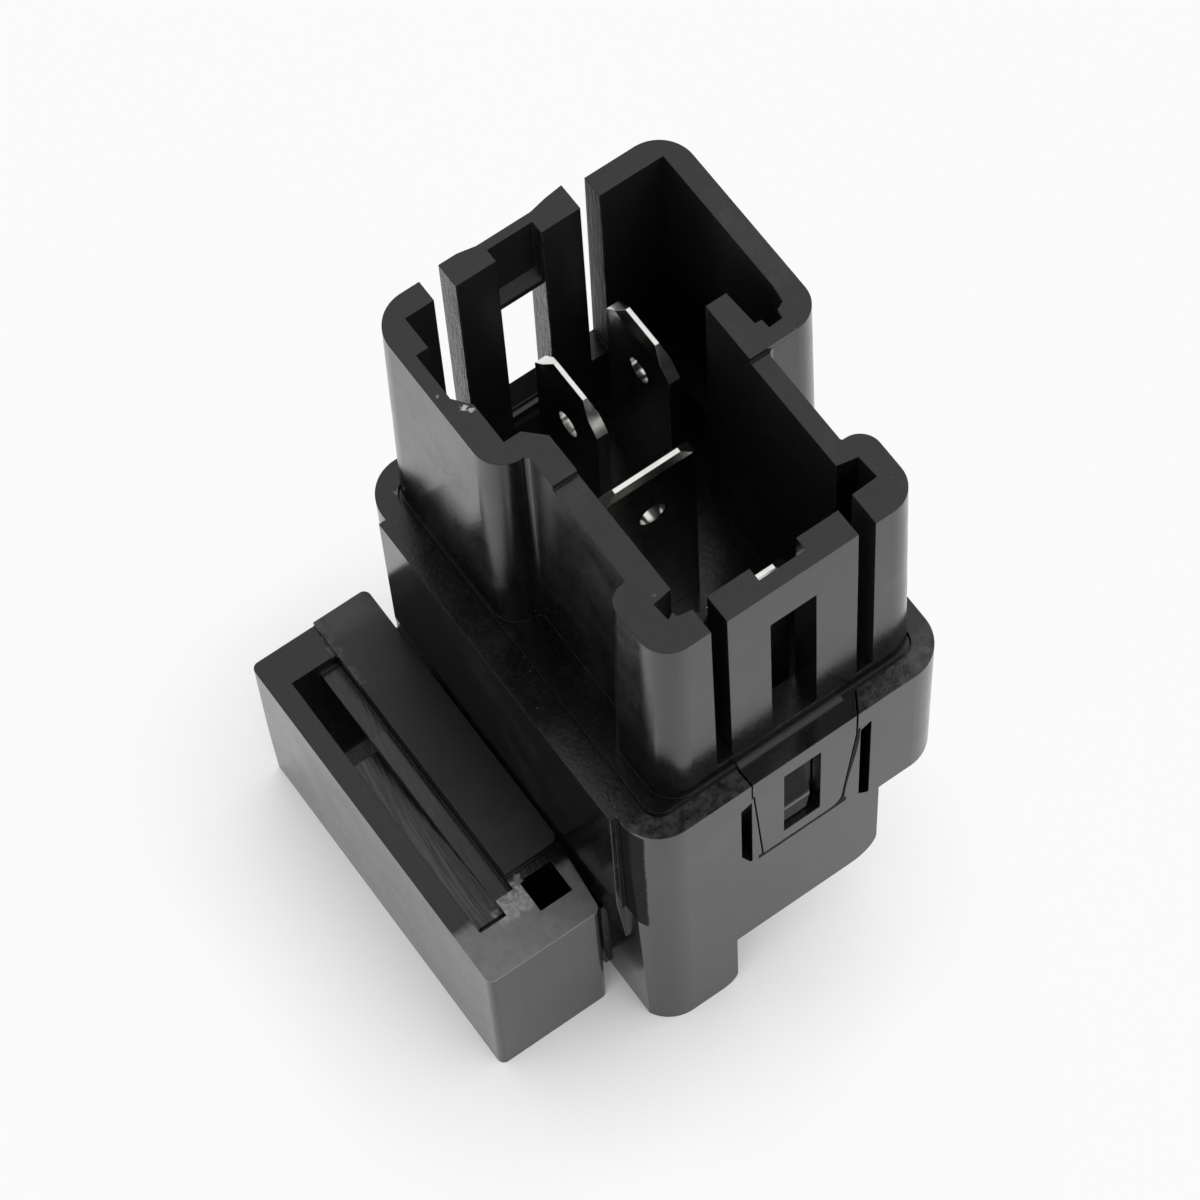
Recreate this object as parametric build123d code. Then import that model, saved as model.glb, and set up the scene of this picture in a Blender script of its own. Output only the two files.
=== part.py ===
from build123d import *
from math import cos, radians, sin, tan
import os

# Automotive relay with its bracket. Sizes are in millimetres. While the pieces are
# shaped, z = 0 is the top of the flange, -Y is the front face and the bracket is on
# the -X side. The last lines move everything so that the relay stands on z = 0.

# Cover: a stepped column, open at the top
cover_left = -10.9
cover_right = 11.35
cover_front = -14.4
cover_back = 15.85
cover_wall = 1.4
cover_corner = 2.7
deep_depth = 29.4
middle_depth = 22.6
shallow_depth = 13.2
deep_right = -4.65
middle_right = 6.2
deep_round = 1.2
middle_round = 2.0
shallow_round = 1.5
column_lean = 0.3
cut_over = 1.0

# Raised pad on the left face of the column
pad_rise = 0.5
pad_front = -11.3
pad_back = 12.8
pad_flat = 13.0
pad_depth = 19.0

# Bracket beside the column, and the web that joins the two
bracket_left = -20.3
bracket_right = -11.45
bracket_front_right = -12.0
bracket_front = -10.3
bracket_top = -15.0
bracket_back = 16.2
bracket_draft = 0.7
bracket_corner = 0.5
web_front = -8.5
web_back = 15.2
web_top = -20.0
slot_left = -18.85
slot_width = 2.0
slot_front = -7.2
slot_length = 20.9
latch_back = 7.7
latch_low = -17.6
latch_high = -15.4
latch_gap = 0.4
latch_thick = 1.5
ledge_width = 1.35
ledge_front = -6.0
ledge_drop = 1.0
strap_rise = 0.5
strap_front = -5.1
strap_corner = 0.6
web_bite = 0.5
square_hole = 2.4
square_hole_left = -15.0
square_hole_front = -8.2

# Terminal shroud on top of the flange
rim_height = 19.6
rim_step = 0.4
shroud_draft = 0.8
floor_top = -4.4
floor_thick = 1.8
plug_play = 0.05
seam_width = 0.15
seam_depth = 0.25
left_back_x = -8.9
left_waist_x = -6.57
left_front_x = -8.1
right_front_x = 9.92
right_waist_x = 8.24
right_back_x = 12.35
shroud_front = -12.4
shroud_back = 15.2
left_lobe_y = 2.4
right_lobe_y = -0.05
shoulder_y = -7.1
back_round = 2.45
lobe_round = 1.9
front_round = 1.95
left_shoulder_round = 1.3
right_shoulder_round = 1.4
left_waist_round = 0.4
right_waist_round = 0.5
shoulder_foot_round = 0.15

# Socket cavity inside the shroud
cavity_left = -7.15
cavity_waist_left = -4.85
cavity_waist_right = 7.05
cavity_right = 10.9
cavity_back = 13.7
cavity_front = -10.8
front_tab_inner = -10.5
pocket_left = -8.0
pocket_back = 11.35
pocket_front = 7.9
pocket_slope = 1.1
left_step_x = -6.0
left_step_y = 3.85
left_step_slope = 1.15
left_notch_run = 1.85
right_notch_run = 1.1
lobe_notch_run = 3.0
key_rib_right = 8.5
key_rib_back = 4.2
lobe_floor = 1.2
lobe_ledge = 0.4

# Small keying notches in the cavity wall: corner points in plan
left_notch = [(-6.15, -9.15), (-6.05, -10.4), (-5.6, -10.15), (-5.5, -10.5)]
right_notch = [(6.0, -10.2), (8.5, -10.1), (8.4, -8.5)]
lobe_notch = [(8.65, 1.65), (9.1, 1.6), (9.15, 0.95), (10.1, 1.0), (10.2, 1.6), (10.75, 1.85)]

# Spring tabs between the slots, with grooves and windows
front_tab_left = -3.5
front_tab_right = 5.5
front_slot_left = 1.1
front_slot_right = 1.2
back_tab_left = -3.65
back_tab_right = 5.05
back_slot_left = 1.5
back_slot_right = 1.35
slot_foot = 1.3
front_window_left = -0.6
front_window_width = 3.2
front_window_sill = 1.2
front_window_top = 15.2
front_groove = 0.9
back_window_left = -0.85
back_window_width = 3.15
back_window_sill = 1.2
back_window_top = 13.5
back_groove = 0.9
sill_fall = 2.2
catch_height = 1.05
catch_lead = 0.55
catch_out = 0.7
tab_bury = 0.4
tab_foot_round = 0.5
tab_foot_reach = 0.55
crest_left = 0.25
crest_right = 0.4
crest_flat = 1.25
crest_slope = 1.2

# Snap tongues that lock the base into the cover, front and back
tongue_thick = 0.8
tongue_play = 0.12
tongue_top_left = -3.31
tongue_top_right = 4.25
tongue_low_left = -2.56
tongue_low_right = 3.2
tongue_length = 11.3
tongue_shoulder = 2.6
tongue_window_left = -1.05
tongue_window_width = 2.72
tongue_window_top = 1.8
tongue_window_low = 10.0
tongue_rounds = [0, 0.2, 0.9, 0.6, 0]
bridge_depth = 1.9
bridge_back_left = -3.4
bridge_back_right = 5.45
wedge_width = 1.9
wedge_peak = 6.8
wedge_out = 0.75
wedge_heel = 0.35
wedge_root = 0.3
wedge_start = 0.2
wedge_side_play = 0.05
slit_width = 0.8
slit_left = -4.2
slit_left_top = 2.4
slit_left_low = 11.7
slit_left_cut = 2.0
slit_right = 4.6
slit_right_top = 2.1
slit_right_low = 12.8
slit_right_cut = 0.8
slit_rounds = [0.1, 0.3, 0.1, 0.1]

# Blades
blade_width = 6.3
blade_thick = 0.8
blade_tip = 14.0
blade_edge = 0.3
blade_hole = 0.9
blade_hole_drop = 4.9
coil_blade_flat = 2.96
coil_blade_corner = 2.0
coil_blade_bevel = 1.0
cross_blade_flat = 4.6
cross_blade_corner = 0.6
cross_blade_bevel = 0.5
coil_blade_a_x = 5.1
coil_blade_a_y = 7.9
coil_blade_b_x = -0.35
coil_blade_b_y = 7.45
common_blade_y = 0.1
load_blade_y = -9.1
cross_blade_x = -0.2
tail_width = 3.4
tail_length = 4.8
tail_shift = 0.8
foot_width = 4.1
fold_round = 0.8
fold_inner_round = 0.3

# Magnet: yoke, core, bobbin and winding
coil_x = -2.5
coil_y = -3.0
iron = 1.2
yoke_width = 7.0
yoke_front = -7.5
leg_front = 3.0
pole_gap = 0.05
pole_height = 3.45
pole_radius = 3.5
pole_thick = 0.9
core_radius = 2.5
rivet_neck = 2.0
bobbin_wall = 0.65
bobbin_flange = 0.8
bobbin_width = 10.8
bobbin_play = 0.05
bobbin_corner = 1.6
winding_radius = 5.0
tape_thick = 0.15
tape_margin = 0.5
lug_width = 1.1
lug_length = 1.6
lug_play = 0.15
tab_bite = 0.2
yoke_inner_round = 0.3
rib_width = 0.85
rib_play = 0.05
rib_front = 3.0
rib_back = 5.0

# Armature with its contact leaf, shown at rest: tilted away from the pole
open_angle = 3.5
armature_front = -8.5
armature_tail = 2.7
tail_hole = 0.4
leaf_thick = 0.25
leaf_back = -5.4
leaf_front = -12.1
leaf_left = -5.8
leaf_right = 1.1
leaf_neck = 0.6
leaf_taper = 0.4
leaf_cut = 1.2
leaf_wide = 2.0
rivet_shank = 0.6
rivet_head = 1.1
rivet_head_thick = 0.35
rivet_bevel = 0.2
rivet_spacing = 4.0
rivet_y = -7.2
contact_x = -0.3
contact_y = -11.0
contact_radius = 1.5
contact_height = 0.8
contact_shank = 0.8
contact_bevel = 0.35
contact_head_set = 0.3
contact_gap = 0.03
load_strip_width = 4.0
foot_back = -5.0

# Return spring behind the yoke leg
spring_x = -4.2
spring_y = 5.75
spring_radius = 1.0
spring_wire = 0.18
spring_turns = 4
spring_length = 5.1
spring_tab_rise = 7.95
spring_tab_width = 3.2
hook_reach = 0.9
hook_bend = 0.3
hook_play = 0.02

# Backstop under the tip of the leaf
stop_left = -5.6
stop_width = 2.4
stop_thick = 0.6
stop_root = 1.0
stop_reach = 2.6
stop_play = 0.05
stop_gap = 0.15
stop_round = 0.6
stop_inner_round = 0.2

# Wires and the resistor across the coil
wire_radius = 0.2
wire_flats = 5
wire_bend = 0.7
wire_angle = 35.0
wire_run_a = 3.7
wire_run_b = 2.7
wire_land = 0.4
resistor_radius = 0.95
resistor_waist = 0.8
resistor_length = 3.0
resistor_cap = 0.7
resistor_slope = 0.25
resistor_bevel = 0.3
resistor_space = 1.8
resistor_drop = 2.6

# Places that follow from the sizes above
middle_y = (cover_front + cover_back) / 2
slot_right = slot_left + slot_width
slot_back = slot_front + slot_length
tongue_inner = cover_front + tongue_thick
window_right = tongue_window_left + tongue_window_width
front_window_right = front_window_left + front_window_width
back_window_right = back_window_left + back_window_width
draft_spread = rim_height * tan(radians(shroud_draft))
floor_low = floor_top - floor_thick
yoke_top = floor_low - blade_thick
yoke_low = yoke_top - iron
yoke_left = coil_x - yoke_width / 2
yoke_right = coil_x + yoke_width / 2
leg_back = leg_front + iron
pole_face = cover_wall - middle_depth + pole_height
spring_tab_top = pole_face + spring_tab_rise
winding_top = yoke_low - bobbin_flange
winding_low = pole_face + pole_thick + bobbin_flange
armature_top = pole_face - pole_gap
armature_low = armature_top - iron
leaf_low = armature_low - leaf_thick
rivet_places = (coil_x - rivet_spacing / 2, coil_x + rivet_spacing / 2)
lead_y = max(coil_blade_a_y, coil_blade_b_y) + tail_shift - tail_width / 2 + wire_land


def block(x0, x1, y0, y1, z0, z1):
    """Block between two opposite corners."""
    centre = Pos((x0 + x1) / 2, (y0 + y1) / 2, (z0 + z1) / 2)
    return centre * Box(x1 - x0, y1 - y0, z1 - z0)


def outline(points, radius=0):
    """Flat face inside a closed outline whose corners can be rounded one by one."""
    return make_face(FilletPolyline(*points, radius=radius, close=True))


def raised(points, z0, z1, radius=0):
    """Plan outline (x, y) raised from z0 to z1."""
    return extrude(Plane.XY.offset(z0) * outline(points, radius), z1 - z0)


def along_x(points, x0, x1, radius=0):
    """Side outline (y, z) carried from x0 to x1."""
    return extrude(Plane.YZ.offset(x0) * outline(points, radius), x1 - x0)


def along_y(points, y0, y1, radius=0):
    """Front outline (x, z) carried from y0 to y1."""
    return extrude(Plane.XZ.offset(-y1) * outline(points, radius), y1 - y0)


def rectangle(x0, x1, y0, y1):
    """Corner points of a rectangle."""
    return [(x0, y0), (x1, y0), (x1, y1), (x0, y1)]


def column_profile(inset, top, lean=0):
    """Stepped front outline of the column, moved inwards, its left face leaning in."""
    left = cover_left + inset
    return [
        (left, top),
        (cover_right - inset, top),
        (cover_right - inset, inset - shallow_depth),
        (middle_right - inset, inset - shallow_depth),
        (middle_right - inset, inset - middle_depth),
        (deep_right - inset, inset - middle_depth),
        (deep_right - inset, inset - deep_depth),
        (left + lean, inset - deep_depth),
    ]


def column_plan(inset):
    """Plan rectangle of the column, moved inwards by the inset."""
    return rectangle(
        cover_left + inset, cover_right - inset, cover_front + inset, cover_back - inset
    )


def at_back(piece):
    """The same shape on the back face."""
    return mirror(piece, Plane.XZ.offset(-middle_y))


def turned(half):
    """Solid of revolution about a vertical axis from its half outline (radius, z)."""
    return revolve(Plane.XZ * outline(half), Axis.Z)


def wire_face(path, radius):
    """Section at the start of a wire's path, with a few flats in place of a circle."""
    return Plane(origin=path @ 0, z_dir=path % 0) * RegularPolygon(radius, round(wire_flats))


# Outline of a tongue, which the tongue, its recess and both faces share
tongue_outline = [
    (tongue_top_left, 0),
    (tongue_low_left, -tongue_length),
    (tongue_low_right, -tongue_length),
    (tongue_top_right, -tongue_shoulder),
    (tongue_top_right, 0),
]


def bridge_plan(front, back):
    """Plan of the tongue's bridge over the rim, which widens inwards."""
    plan = []
    for y in (front, back):
        share = (y - cover_front) / bridge_depth
        left = tongue_top_left + share * (bridge_back_left - tongue_top_left)
        right = tongue_top_right + share * (bridge_back_right - tongue_top_right)
        plan += [(left, y), (right, y)]
    return [plan[0], plan[1], plan[3], plan[2]]


def build_cover():
    """Stepped column, bracket and web, moulded in one."""
    profile_rounds = [0, 0, shallow_round, 0, middle_round, 0, deep_round, 0]
    profile = column_profile(0, 0, column_lean)
    column = along_y(profile, cover_front, cover_back, profile_rounds)
    column &= raised(column_plan(0), -deep_depth, 0, cover_corner)
    room = along_y(column_profile(cover_wall, cut_over), cover_front, cover_back)
    room &= raised(column_plan(cover_wall), -deep_depth, cut_over, cover_corner - cover_wall)

    pad = [
        (cover_left + cover_wall / 2, 0),
        (cover_left - pad_rise, 0),
        (cover_left - pad_rise, -pad_flat),
        (cover_left, -pad_depth),
        (cover_left + cover_wall / 2, -pad_depth),
    ]
    column += along_y(pad, pad_front, pad_back)

    # Bracket: slot for the car's tongue, latch ramp in it, ledge and raised strap
    bracket_plan = [
        (bracket_left, bracket_front),
        (bracket_front_right, bracket_front),
        (bracket_right, strap_front),
        (bracket_right, bracket_back),
        (bracket_left, bracket_back),
    ]
    bracket = raised(bracket_plan, -deep_depth, bracket_top, bracket_corner)
    bracket -= block(slot_left, slot_right, slot_front, slot_back, -deep_depth, bracket_top)
    strap_left = slot_right + ledge_width
    bracket -= block(
        slot_left,
        strap_left,
        ledge_front,
        slot_back,
        bracket_top - ledge_drop,
        bracket_top,
    )
    lip = slot_front + latch_gap
    latch = [
        (latch_back, latch_low),
        (lip, latch_high),
        (lip, latch_high - latch_gap),
        (slot_front, latch_high - latch_gap),
        (slot_front, latch_high - latch_thick),
        (latch_back, latch_low - latch_thick),
    ]
    bracket += along_x(latch, slot_left, slot_right)
    square_right = square_hole_left + square_hole
    square_back = square_hole_front + square_hole
    bracket -= block(
        square_hole_left,
        square_right,
        square_hole_front,
        square_back,
        -deep_depth,
        bracket_top,
    )
    strap = rectangle(strap_left, bracket_right, strap_front, bracket_back)
    strap_rounds = [0, strap_corner, bracket_corner, 0]
    bracket += raised(strap, bracket_top - ledge_drop, bracket_top + strap_rise, strap_rounds)
    leaning = [
        (bracket_front, -deep_depth),
        (bracket_back - bracket_draft, -deep_depth),
        (bracket_back, bracket_top),
        (bracket_back, bracket_top + strap_rise),
        (bracket_front, bracket_top + strap_rise),
    ]
    bracket &= along_x(leaning, bracket_left, bracket_right)

    gap = cover_left - bracket_front_right
    web = block(
        bracket_front_right - web_bite,
        cover_left + column_lean + web_bite,
        web_front,
        web_back,
        -deep_depth,
        web_top,
    )
    scoop = Cylinder(gap / 2, 2 * deep_depth)
    web -= Pos(bracket_front_right + gap / 2, web_front, -deep_depth) * scoop
    cover = column + bracket + web - room

    # Snap seats: notch in the rim, recess with a wedge, and a slit on each side
    recess = offset(outline(tongue_outline, tongue_rounds), tongue_play)
    seat = extrude(Plane.XZ.offset(-tongue_inner - tongue_play) * recess, tongue_thick + cut_over)
    notch_plan = offset(
        outline(bridge_plan(cover_front - cut_over, cover_front + cover_wall + cut_over)), tongue_play
    )
    notch_low = -tongue_window_top - tongue_play
    rim_notch = extrude(Plane.XY.offset(notch_low) * notch_plan, cut_over - notch_low)
    wedge = [
        (tongue_inner + wedge_root, -tongue_window_top - wedge_start),
        (tongue_inner + tongue_play, -tongue_window_top - wedge_start),
        (tongue_inner - wedge_out, -wedge_peak),
        (tongue_inner - wedge_heel, -tongue_window_low + tongue_play),
        (tongue_inner + wedge_root, -tongue_window_low + tongue_play),
    ]
    wedge_left = tongue_window_left + wedge_side_play
    wedge = along_x(wedge, wedge_left, wedge_left + wedge_width)
    for x0, top, low, cut in (
        (slit_left, slit_left_top, slit_left_low, slit_left_cut),
        (slit_right, slit_right_top, slit_right_low, slit_right_cut),
    ):
        slit = [
            (x0, -top - slit_width / 2),
            (x0, cut - low),
            (x0 + slit_width, -low),
            (x0 + slit_width, -top),
        ]
        slit = along_y(slit, cover_front - cut_over, cover_front + cover_wall + tongue_play, slit_rounds)
        cover -= slit
        cover -= at_back(slit)
    cover -= seat
    cover -= at_back(seat)
    cover -= rim_notch
    cover -= at_back(rim_notch)
    cover += wedge
    cover += at_back(wedge)
    return cover


def shroud_section(z, grow):
    """Outer plan section of the shroud at a level, each wall moved outwards."""
    corners = [
        (left_back_x, shroud_back, back_round),
        (left_back_x, left_lobe_y, lobe_round),
        (left_waist_x, left_lobe_y, left_waist_round),
        (left_waist_x, shoulder_y, shoulder_foot_round),
        (left_front_x, shoulder_y, left_shoulder_round),
        (left_front_x, shroud_front, front_round),
        (right_front_x, shroud_front, front_round),
        (right_front_x, shoulder_y, right_shoulder_round),
        (right_waist_x, shoulder_y, shoulder_foot_round),
        (right_waist_x, right_lobe_y, right_waist_round),
        (right_back_x, right_lobe_y, lobe_round),
        (right_back_x, shroud_back, back_round),
    ]
    points = []
    for i, (x, y, r) in enumerate(corners):
        x_before, y_before, r_before = corners[i - 1]
        x_after, y_after, r_after = corners[(i + 1) % len(corners)]
        shift_x = grow * ((y > y_before) - (y < y_before) + (y_after > y) - (y_after < y))
        shift_y = grow * ((x < x_before) - (x > x_before) + (x_after < x) - (x_after > x))
        points.append((x + shift_x, y + shift_y))
    return Plane.XY.offset(z) * outline(points, [r for x, y, r in corners])


# Plan of the socket cavity, from the back left corner round by the left
cavity_outline = [
    (cavity_left, cavity_back),
    (cavity_left, pocket_back),
    (pocket_left, pocket_back),
    (pocket_left, pocket_front),
    (cavity_left, pocket_front - pocket_slope),
    (cavity_left, left_step_y),
    (left_step_x, left_step_y),
    (cavity_waist_left, left_step_y - left_step_slope),
    (cavity_waist_left, shoulder_y - left_notch_run),
    *left_notch,
    (front_tab_left - tab_bury, cavity_front),
    (front_tab_left - tab_bury, front_tab_inner),
    (front_tab_right + tab_bury, front_tab_inner),
    *right_notch,
    (cavity_waist_right, shoulder_y - right_notch_run),
    (cavity_waist_right, key_rib_back),
    (key_rib_right, key_rib_back),
    *lobe_notch,
    (cavity_right, right_lobe_y + lobe_notch_run),
    (cavity_right, cavity_back),
]


def cut_tabs(shell):
    """Frees the two spring tabs and gives them their grooves, windows and catch."""
    above = rim_height + cut_over
    front_cut = (shroud_front - cut_over, front_tab_inner + tab_bury)
    back_cut = (cavity_back - tab_bury, shroud_back + cut_over)
    for x0, x1, y0, y1 in (
        (front_tab_left - front_slot_left, front_tab_left, *front_cut),
        (front_tab_right, front_tab_right + front_slot_right, *front_cut),
        (back_tab_left - back_slot_left, back_tab_left, *back_cut),
        (back_tab_right, back_tab_right + back_slot_right, *back_cut),
    ):
        shell -= block(x0, x1, y0, y1, slot_foot, above)
    front_x = (front_window_left, front_window_right)
    back_x = (back_window_left, back_window_right)
    groove_back = cavity_back + back_groove
    groove_front = front_tab_inner - front_groove
    shell -= block(*front_x, groove_front, front_tab_inner, front_window_sill, above)
    shell -= block(*front_x, shroud_front - cut_over, front_tab_inner, front_window_sill, front_window_top)
    shell -= block(*back_x, cavity_back, groove_back, back_window_sill, above)
    window = [
        (cavity_back, back_window_sill - sill_fall),
        (shroud_back + draft_spread, back_window_sill),
        (shroud_back + cut_over, back_window_sill),
        (shroud_back + cut_over, back_window_top),
        (cavity_back, back_window_top),
    ]
    shell -= along_x(window, *back_x)
    catch = [
        (groove_back, back_window_top),
        (groove_back, back_window_top + catch_height),
        (groove_back - catch_out, back_window_top + catch_height - catch_lead),
        (groove_back - catch_out, back_window_top),
    ]
    return shell + along_x(catch, *back_x)


def build_base():
    """Socket shroud, flange, floor and snap tongues, moulded in one."""
    wide = shroud_section(0, draft_spread)
    shroud = loft([wide, shroud_section(rim_height, 0)], ruled=True)
    crest = [
        (back_tab_left, cavity_back),
        (back_tab_left, shroud_back + crest_left),
        (back_tab_left + crest_flat, shroud_back + crest_left),
        (back_tab_left + crest_flat + crest_slope, shroud_back),
        (back_tab_right - crest_flat - crest_slope, shroud_back),
        (back_tab_right - crest_flat, shroud_back + crest_left),
        (back_tab_right, shroud_back + crest_right),
        (back_tab_right, cavity_back),
    ]
    shroud += raised(crest, slot_foot, rim_height)
    inset = cover_wall + plug_play
    plug_corner = cover_corner - inset
    plug = raised(column_plan(inset), floor_low, -seam_depth, plug_corner)
    inner_plan = column_plan(inset + seam_width)
    plug += raised(inner_plan, -seam_depth, 0, plug_corner - seam_width)
    shell = shroud + plug

    # Cavity: full outline above the lobe floor, narrower inside the cover
    shell -= raised(cavity_outline, lobe_floor, rim_height + cut_over)
    well = raised(cavity_outline, floor_top, lobe_floor)
    shell -= well & block(
        cover_left,
        right_waist_x + lobe_ledge,
        cover_front,
        cavity_back,
        floor_top,
        lobe_floor,
    )
    shell -= block(
        left_back_x - cut_over,
        right_back_x + cut_over,
        cover_front,
        right_lobe_y,
        rim_height - rim_step,
        rim_height + cut_over,
    )
    shell = cut_tabs(shell)

    # Fillet between the front tab and the flange
    tab_face = shroud_front - draft_spread
    foot = tab_foot_round + tab_foot_reach
    flare = [
        (shroud_front, foot),
        (tab_face, foot),
        (tab_face, 0),
        (tab_face - tab_foot_reach, 0),
        (tab_face - tab_foot_reach, -seam_depth),
        (shroud_front, -seam_depth),
    ]
    shell += along_x(flare, tongue_top_left, tongue_top_right, [0, 0, tab_foot_round, 0, 0, 0])

    # Tongues: a bridge over the rim and a springy plate with a window
    face = outline(tongue_outline, tongue_rounds)
    tongue = extrude(Plane.XZ.offset(-tongue_inner) * face, tongue_thick)
    bridge = bridge_plan(cover_front, cover_front + bridge_depth)
    tongue += raised(bridge, -tongue_window_top, 0)
    seam_y = cover_front + inset
    tongue -= block(cover_left, cover_right, seam_y - plug_play, seam_y + seam_width, -seam_depth, cut_over)
    tongue -= block(
        tongue_window_left,
        window_right,
        cover_front - cut_over,
        tongue_inner,
        -tongue_window_low,
        -tongue_window_top,
    )
    shell += tongue
    shell += at_back(tongue)

    # Ribs under the floor that locate the yoke
    for side in (-1, 1):
        inner = coil_x + side * (yoke_width / 2 + rib_play)
        outer = inner + side * rib_width
        shell += block(
            min(inner, outer),
            max(inner, outer),
            coil_y - rib_front,
            coil_y + rib_back,
            yoke_low,
            floor_low,
        )
    return shell


def blade(foot, flat, corner, bevel):
    """Flat blade standing on the given level, thin along Y, centred on x = 0."""
    half = blade_width / 2
    face = [
        (-half, foot),
        (half, foot),
        (half, blade_tip - corner),
        (flat / 2, blade_tip),
        (-flat / 2, blade_tip),
        (-half, blade_tip - corner),
    ]
    plate = along_y(face, -blade_thick / 2, blade_thick / 2)
    side = [
        (-blade_thick / 2, foot),
        (blade_thick / 2, foot),
        (blade_thick / 2, blade_tip - bevel),
        (blade_edge / 2, blade_tip),
        (-blade_edge / 2, blade_tip),
        (-blade_thick / 2, blade_tip - bevel),
    ]
    plate &= along_x(side, -half, half)
    hole = Rot(90, 0, 0) * Cylinder(blade_hole, 2 * blade_thick)
    return plate - Pos(0, 0, blade_tip - blade_hole_drop) * hole


def cross_blade(y, foot):
    """Blade that stands across the socket."""
    piece = blade(foot, cross_blade_flat, cross_blade_corner, cross_blade_bevel)
    return Pos(cross_blade_x, y, 0) * piece


def build_coil_terminal(x, y):
    """Blade that stands side-on, with a short tail under the floor."""
    piece = blade(floor_low, coil_blade_flat, coil_blade_corner, coil_blade_bevel)
    tail = block(
        x - blade_thick / 2,
        x + blade_thick / 2,
        y + tail_shift - tail_width / 2,
        y + tail_shift + tail_width / 2,
        floor_low - tail_length,
        floor_low,
    )
    return Pos(x, y, 0) * Rot(0, 0, 90) * piece + tail


def build_common_terminal():
    """Blade with a foot that lies on the yoke."""
    left = cross_blade_x - blade_width / 2
    foot = block(left, left + foot_width, foot_back, common_blade_y, yoke_top, floor_low)
    return cross_blade(common_blade_y, yoke_top) + foot


def build_load_terminal():
    """Blade that runs down in front of the coil and folds forward over the contact."""
    fold_top = armature_top + contact_gap + contact_height + blade_thick
    half = load_strip_width / 2
    side = [
        (load_blade_y + blade_thick / 2, floor_low),
        (load_blade_y - blade_thick / 2, floor_low),
        (load_blade_y - blade_thick / 2, fold_top),
        (leaf_front, fold_top),
        (leaf_front, fold_top - blade_thick),
        (load_blade_y + blade_thick / 2, fold_top - blade_thick),
    ]
    rounds = [0, 0, fold_inner_round, 0, 0, fold_round]
    strip = along_x(side, cross_blade_x - half, cross_blade_x + half, rounds)
    return cross_blade(load_blade_y, floor_low) + strip


def build_yoke():
    """Bent iron: plate over the coil, leg behind it with two lugs and a spring tab."""
    side = [
        (yoke_front, yoke_top),
        (leg_back, yoke_top),
        (leg_back, pole_face),
        (leg_front, pole_face),
        (leg_front, yoke_low),
        (yoke_front, yoke_low),
    ]
    yoke = along_x(side, yoke_left, yoke_right, [0, iron, 0, 0, yoke_inner_round, 0])
    for x0 in (yoke_left, yoke_right - lug_width):
        yoke += block(x0, x0 + lug_width, leg_front, leg_back, pole_face - lug_length, pole_face)
    tab = block(
        spring_x - spring_tab_width / 2,
        spring_x + spring_tab_width / 2,
        leg_back - tab_bite,
        spring_y + spring_radius,
        spring_tab_top - blade_thick,
        spring_tab_top,
    )
    tab -= Pos(spring_x + spring_radius, spring_y, spring_tab_top) * Cylinder(tail_hole, 4 * iron)
    yoke += tab
    return yoke - Pos(coil_x, coil_y, yoke_top) * Cylinder(rivet_neck, 4 * iron)


def build_core():
    """Iron core: riveted neck in the yoke, round stem and a wider pole face."""
    half = [
        (0, yoke_top),
        (rivet_neck, yoke_top),
        (rivet_neck, yoke_low),
        (core_radius, yoke_low),
        (core_radius, pole_face + pole_thick),
        (pole_radius, pole_face + pole_thick),
        (pole_radius, pole_face),
        (0, pole_face),
    ]
    return Pos(coil_x, coil_y, 0) * turned(half)


def build_bobbin():
    """Plastic spool: tube with a square flange at each end."""
    half = bobbin_width / 2
    flat = half - bobbin_corner
    plan = []
    for side_x, side_y in ((1, 1), (-1, 1), (-1, -1), (1, -1)):
        corner = [
            (coil_x + side_x * half, coil_y + side_y * flat),
            (coil_x + side_x * flat, coil_y + side_y * half),
        ]
        plan += corner if side_x == side_y else corner[::-1]
    spool = raised(plan, winding_top, yoke_low)
    spool += raised(plan, winding_low - bobbin_flange, winding_low)
    centre = Pos(coil_x, coil_y, (winding_top + winding_low) / 2)
    height = yoke_low - winding_low + bobbin_flange
    bore = core_radius + bobbin_play
    spool += centre * Cylinder(bore + bobbin_wall, winding_top - winding_low)
    return spool - centre * Cylinder(bore, 2 * height)


def ring(inner, outer, z0, z1):
    """Ring around the coil axis."""
    centre = Pos(coil_x, coil_y, (z0 + z1) / 2)
    return centre * (Cylinder(outer, z1 - z0) - Cylinder(inner, 2 * (z1 - z0)))


def build_winding():
    """Wire wound on the bobbin tube."""
    tube = core_radius + bobbin_play + bobbin_wall
    return ring(tube, winding_radius, winding_low, winding_top)


def build_tape():
    """Tape round the winding, a little short of each flange."""
    low = winding_low + tape_margin
    high = winding_top - tape_margin
    return ring(winding_radius, winding_radius + tape_thick, low, high)


def tilt(piece):
    """Turn a piece of the armature from pulled in to its place at rest."""
    hinge = Pos(0, leg_back, armature_top)
    return hinge * Rot(open_angle, 0, 0) * hinge.inverse() * piece


def build_armature():
    """Iron flap with a notch for each lug and a tail for the spring."""
    back = leg_back + armature_tail
    plate = block(yoke_left, yoke_right, armature_front, back, armature_low, armature_top)
    for x0, x1 in (
        (yoke_left - cut_over, yoke_left + lug_width + lug_play),
        (yoke_right - lug_width - lug_play, yoke_right + cut_over),
    ):
        plate -= block(
            x0, x1, leg_front - lug_play, leg_back + lug_play, armature_low, armature_top
        )
    plate -= Pos(spring_x + spring_radius, spring_y, armature_top) * Cylinder(tail_hole, 4 * iron)
    for x in rivet_places:
        plate -= Pos(x, rivet_y, armature_top) * Cylinder(rivet_shank, 4 * iron)
    return tilt(plate)


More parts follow.
